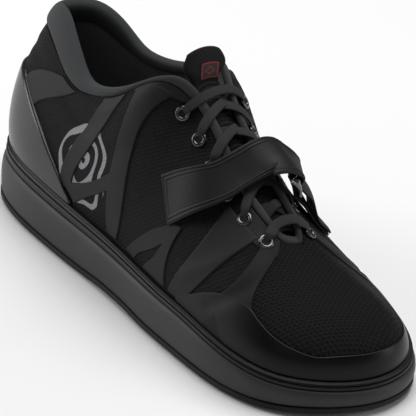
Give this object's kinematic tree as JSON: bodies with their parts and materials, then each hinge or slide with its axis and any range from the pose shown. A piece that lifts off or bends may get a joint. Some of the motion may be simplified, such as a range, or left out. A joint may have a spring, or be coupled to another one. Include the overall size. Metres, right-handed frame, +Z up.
{
  "type": "weightlifting shoe",
  "caption": "Low-cut lifting shoe with a tall flat wedge sole, padded collar, lace closure and a single instep strap through a metal loop, empty and standing",
  "frame": {"origin": "on the floor, under the middle of the shoe's bounding box", "axes": "+X from heel to toe, +Y towards the inner side of the foot, +Z up"},
  "size_m": [0.3016, 0.1086, 0.1396],
  "materials": {
    "rubber": "matt dark rubber",
    "foam": "satin moulded grey wedge",
    "rand": "satin dark rubber",
    "mesh": "matt knitted mesh",
    "film": "matt bonded film",
    "guard": "satin bonded film",
    "counter": "glossy moulded cup",
    "lining": "matt padded knit",
    "lace": "flat woven lace",
    "strap": "coated webbing",
    "metal": "dark plated"
  },
  "bodies": {
    "root": {"outsole": "rubber", "midsole": "foam", "rand": "rand", "insole": "lining", "collar": "lining", "heel_pad": "lining", "upper": "mesh", "tongue": "mesh", "toe_guard": "guard", "heel_counter": "counter", "film_outer_heel": "film", "film_outer_strip": "film", "film_outer_bar": "film", "film_outer_panel": "film", "film_outer_fan_1": "film", "film_outer_fan_2": "film", "film_outer_fan_3": "film", "film_outer_fan_4": "film", "film_inner_heel": "film", "film_inner_panel": "film", "film_inner_fan_1": "film", "film_inner_fan_2": "film", "eyelet_outer_1": "metal", "eyelet_outer_2": "metal", "eyelet_outer_3": "metal", "eyelet_outer_4": "metal", "eyelet_outer_5": "metal", "eyelet_outer_6": "metal", "eyelet_inner_1": "metal", "eyelet_inner_2": "metal", "eyelet_inner_3": "metal", "eyelet_inner_4": "metal", "eyelet_inner_5": "metal", "eyelet_inner_6": "metal", "strap_ring": "metal", "lace_crossing_1": "lace", "lace_crossing_2": "lace", "lace_crossing_3": "lace", "lace_crossing_4": "lace", "lace_crossing_5": "lace", "strap": "strap", "strap_tab": "strap"}
  },
  "joints": []
}
